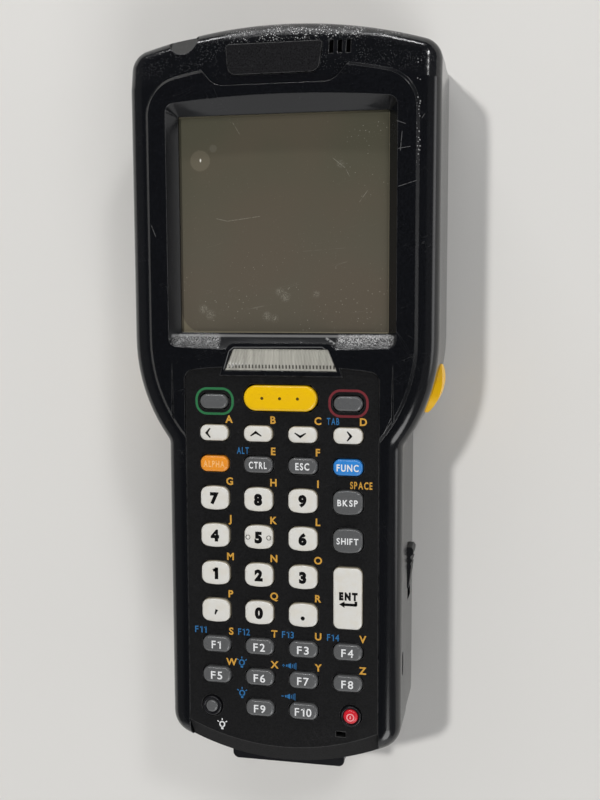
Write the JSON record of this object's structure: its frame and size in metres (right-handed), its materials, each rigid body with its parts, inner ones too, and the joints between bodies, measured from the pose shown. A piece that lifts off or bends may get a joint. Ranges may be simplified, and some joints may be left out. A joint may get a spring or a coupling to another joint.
{
  "type": "portable barcode data terminal",
  "caption": "Hand-held barcode data terminal with a touch display, a full keypad, side scan triggers and a latched battery pack in the back of its handle.",
  "frame": {"origin": "centre of the bounding box's underside, where the terminal lies on its back", "axes": "+X right, +Y towards the scanning end, +Z out of the display"},
  "size_m": [0.0794, 0.1924, 0.0384],
  "materials": {
    "housing_black": "semi-gloss moulded plastic",
    "panel_black": "matte painted plastic",
    "plate_black": "gloss",
    "latch_black": "matte",
    "connector_black": "matte",
    "speaker_black": "matte",
    "gasket_foam": "closed-cell foam",
    "mat_rubber": "silicone",
    "screen_glass": "resistive touch film over glass",
    "tray_steel": "pressed sheet",
    "lens_clear": "ribbed translucent plastic",
    "board_green": "solder mask",
    "engine_alloy": "die-cast",
    "window_red": "dark red window",
    "contacts_brass": "gold-flashed",
    "screw_steel": "black zinc",
    "trigger_yellow": "satin",
    "key_white": "satin",
    "key_grey": "satin",
    "key_orange": "satin",
    "key_blue": "satin",
    "key_yellow": "satin",
    "key_red": "satin"
  },
  "bodies": {
    "root": {"badge_plate": "plate_black", "battery_contacts": "contacts_brass", "case_screws": "screw_steel", "display_gasket": "gasket_foam", "display_module": "tray_steel", "dock_connector": "connector_black", "front_housing": "housing_black", "keypad_board": "board_green", "keypad_frame": "panel_black", "keypad_mat": "mat_rubber", "led_lens": "lens_clear", "main_board": "board_green", "rear_housing": "housing_black", "scan_engine": "engine_alloy", "scan_window": "window_red", "speaker": "speaker_black", "touch_panel": "screen_glass"},
    "battery_pack": {"battery_pack": "housing_black"},
    "latch_left": {"latch_left": "latch_black"},
    "latch_right": {"latch_right": "latch_black"},
    "trigger_left": {"trigger_left": "trigger_yellow"},
    "trigger_right": {"trigger_right": "trigger_yellow"},
    "key_0": {"key_0": "key_white"},
    "key_1": {"key_1": "key_white"},
    "key_2": {"key_2": "key_white"},
    "key_3": {"key_3": "key_white"},
    "key_4": {"key_4": "key_white"},
    "key_5": {"key_5": "key_white"},
    "key_6": {"key_6": "key_white"},
    "key_7": {"key_7": "key_white"},
    "key_8": {"key_8": "key_white"},
    "key_9": {"key_9": "key_white"},
    "key_alpha": {"key_alpha": "key_orange"},
    "key_bksp": {"key_bksp": "key_grey"},
    "key_comma": {"key_comma": "key_white"},
    "key_ctrl": {"key_ctrl": "key_grey"},
    "key_down": {"key_down": "key_white"},
    "key_enter": {"key_enter": "key_white"},
    "key_esc": {"key_esc": "key_grey"},
    "key_f1": {"key_f1": "key_grey"},
    "key_f10": {"key_f10": "key_grey"},
    "key_f2": {"key_f2": "key_grey"},
    "key_f3": {"key_f3": "key_grey"},
    "key_f4": {"key_f4": "key_grey"},
    "key_f5": {"key_f5": "key_grey"},
    "key_f6": {"key_f6": "key_grey"},
    "key_f7": {"key_f7": "key_grey"},
    "key_f8": {"key_f8": "key_grey"},
    "key_f9": {"key_f9": "key_grey"},
    "key_func": {"key_func": "key_blue"},
    "key_left": {"key_left": "key_white"},
    "key_light": {"key_light": "key_grey"},
    "key_point": {"key_point": "key_white"},
    "key_power": {"key_power": "key_red"},
    "key_right": {"key_right": "key_white"},
    "key_scan": {"key_scan": "key_yellow"},
    "key_shift": {"key_shift": "key_grey"},
    "key_soft_left": {"key_soft_left": "key_grey"},
    "key_soft_right": {"key_soft_right": "key_grey"},
    "key_up": {"key_up": "key_white"}
  },
  "joints": [
    {"name": "battery_tilt", "type": "hinge", "parent": "root", "child": "battery_pack", "pos_m": [0, -0.0858, 0.0022], "axis": [-1, 0, 0], "range_deg": [0, 25]},
    {"name": "trigger_left_press", "type": "slide", "parent": "root", "child": "trigger_left", "axis": [1, 0, 0], "range_m": [0, 0.0012], "stiffness_N_per_m": 1500},
    {"name": "latch_left_slide", "type": "slide", "parent": "root", "child": "latch_left", "axis": [0, -1, 0], "range_m": [0, 0.003], "stiffness_N_per_m": 500},
    {"name": "trigger_right_press", "type": "slide", "parent": "root", "child": "trigger_right", "axis": [-1, 0, 0], "range_m": [0, 0.0012], "stiffness_N_per_m": 1500},
    {"name": "latch_right_slide", "type": "slide", "parent": "root", "child": "latch_right", "axis": [0, -1, 0], "range_m": [0, 0.003], "stiffness_N_per_m": 500},
    {"name": "key_0_press", "type": "slide", "parent": "root", "child": "key_0", "axis": [0, 0, -1], "range_m": [0, 0.0006], "stiffness_N_per_m": 1000},
    {"name": "key_1_press", "type": "slide", "parent": "root", "child": "key_1", "axis": [0, 0, -1], "range_m": [0, 0.0006], "stiffness_N_per_m": 1000},
    {"name": "key_2_press", "type": "slide", "parent": "root", "child": "key_2", "axis": [0, 0, -1], "range_m": [0, 0.0006], "stiffness_N_per_m": 1000},
    {"name": "key_3_press", "type": "slide", "parent": "root", "child": "key_3", "axis": [0, 0, -1], "range_m": [0, 0.0006], "stiffness_N_per_m": 1000},
    {"name": "key_4_press", "type": "slide", "parent": "root", "child": "key_4", "axis": [0, 0, -1], "range_m": [0, 0.0006], "stiffness_N_per_m": 1000},
    {"name": "key_5_press", "type": "slide", "parent": "root", "child": "key_5", "axis": [0, 0, -1], "range_m": [0, 0.0006], "stiffness_N_per_m": 1000},
    {"name": "key_6_press", "type": "slide", "parent": "root", "child": "key_6", "axis": [0, 0, -1], "range_m": [0, 0.0006], "stiffness_N_per_m": 1000},
    {"name": "key_7_press", "type": "slide", "parent": "root", "child": "key_7", "axis": [0, 0, -1], "range_m": [0, 0.0006], "stiffness_N_per_m": 1000},
    {"name": "key_8_press", "type": "slide", "parent": "root", "child": "key_8", "axis": [0, 0, -1], "range_m": [0, 0.0006], "stiffness_N_per_m": 1000},
    {"name": "key_9_press", "type": "slide", "parent": "root", "child": "key_9", "axis": [0, 0, -1], "range_m": [0, 0.0006], "stiffness_N_per_m": 1000},
    {"name": "key_alpha_press", "type": "slide", "parent": "root", "child": "key_alpha", "axis": [0, 0, -1], "range_m": [0, 0.0006], "stiffness_N_per_m": 1000},
    {"name": "key_bksp_press", "type": "slide", "parent": "root", "child": "key_bksp", "axis": [0, 0, -1], "range_m": [0, 0.0006], "stiffness_N_per_m": 1000},
    {"name": "key_comma_press", "type": "slide", "parent": "root", "child": "key_comma", "axis": [0, 0, -1], "range_m": [0, 0.0006], "stiffness_N_per_m": 1000},
    {"name": "key_ctrl_press", "type": "slide", "parent": "root", "child": "key_ctrl", "axis": [0, 0, -1], "range_m": [0, 0.0006], "stiffness_N_per_m": 1000},
    {"name": "key_down_press", "type": "slide", "parent": "root", "child": "key_down", "axis": [0, 0, -1], "range_m": [0, 0.0006], "stiffness_N_per_m": 1000},
    {"name": "key_enter_press", "type": "slide", "parent": "root", "child": "key_enter", "axis": [0, 0, -1], "range_m": [0, 0.0006], "stiffness_N_per_m": 1000},
    {"name": "key_esc_press", "type": "slide", "parent": "root", "child": "key_esc", "axis": [0, 0, -1], "range_m": [0, 0.0006], "stiffness_N_per_m": 1000},
    {"name": "key_f1_press", "type": "slide", "parent": "root", "child": "key_f1", "axis": [0, 0, -1], "range_m": [0, 0.0006], "stiffness_N_per_m": 1000},
    {"name": "key_f10_press", "type": "slide", "parent": "root", "child": "key_f10", "axis": [0, 0, -1], "range_m": [0, 0.0006], "stiffness_N_per_m": 1000},
    {"name": "key_f2_press", "type": "slide", "parent": "root", "child": "key_f2", "axis": [0, 0, -1], "range_m": [0, 0.0006], "stiffness_N_per_m": 1000},
    {"name": "key_f3_press", "type": "slide", "parent": "root", "child": "key_f3", "axis": [0, 0, -1], "range_m": [0, 0.0006], "stiffness_N_per_m": 1000},
    {"name": "key_f4_press", "type": "slide", "parent": "root", "child": "key_f4", "axis": [0, 0, -1], "range_m": [0, 0.0006], "stiffness_N_per_m": 1000},
    {"name": "key_f5_press", "type": "slide", "parent": "root", "child": "key_f5", "axis": [0, 0, -1], "range_m": [0, 0.0006], "stiffness_N_per_m": 1000},
    {"name": "key_f6_press", "type": "slide", "parent": "root", "child": "key_f6", "axis": [0, 0, -1], "range_m": [0, 0.0006], "stiffness_N_per_m": 1000},
    {"name": "key_f7_press", "type": "slide", "parent": "root", "child": "key_f7", "axis": [0, 0, -1], "range_m": [0, 0.0006], "stiffness_N_per_m": 1000},
    {"name": "key_f8_press", "type": "slide", "parent": "root", "child": "key_f8", "axis": [0, 0, -1], "range_m": [0, 0.0006], "stiffness_N_per_m": 1000},
    {"name": "key_f9_press", "type": "slide", "parent": "root", "child": "key_f9", "axis": [0, 0, -1], "range_m": [0, 0.0006], "stiffness_N_per_m": 1000},
    {"name": "key_func_press", "type": "slide", "parent": "root", "child": "key_func", "axis": [0, 0, -1], "range_m": [0, 0.0006], "stiffness_N_per_m": 1000},
    {"name": "key_left_press", "type": "slide", "parent": "root", "child": "key_left", "axis": [0, 0, -1], "range_m": [0, 0.0006], "stiffness_N_per_m": 1000},
    {"name": "key_light_press", "type": "slide", "parent": "root", "child": "key_light", "axis": [0, 0, -1], "range_m": [0, 0.0006], "stiffness_N_per_m": 1000},
    {"name": "key_point_press", "type": "slide", "parent": "root", "child": "key_point", "axis": [0, 0, -1], "range_m": [0, 0.0006], "stiffness_N_per_m": 1000},
    {"name": "key_power_press", "type": "slide", "parent": "root", "child": "key_power", "axis": [0, 0, -1], "range_m": [0, 0.0006], "stiffness_N_per_m": 1000},
    {"name": "key_right_press", "type": "slide", "parent": "root", "child": "key_right", "axis": [0, 0, -1], "range_m": [0, 0.0006], "stiffness_N_per_m": 1000},
    {"name": "key_scan_press", "type": "slide", "parent": "root", "child": "key_scan", "axis": [0, 0, -1], "range_m": [0, 0.0006], "stiffness_N_per_m": 1000},
    {"name": "key_shift_press", "type": "slide", "parent": "root", "child": "key_shift", "axis": [0, 0, -1], "range_m": [0, 0.0006], "stiffness_N_per_m": 1000},
    {"name": "key_soft_left_press", "type": "slide", "parent": "root", "child": "key_soft_left", "axis": [0, 0, -1], "range_m": [0, 0.0006], "stiffness_N_per_m": 1000},
    {"name": "key_soft_right_press", "type": "slide", "parent": "root", "child": "key_soft_right", "axis": [0, 0, -1], "range_m": [0, 0.0006], "stiffness_N_per_m": 1000},
    {"name": "key_up_press", "type": "slide", "parent": "root", "child": "key_up", "axis": [0, 0, -1], "range_m": [0, 0.0006], "stiffness_N_per_m": 1000}
  ]
}
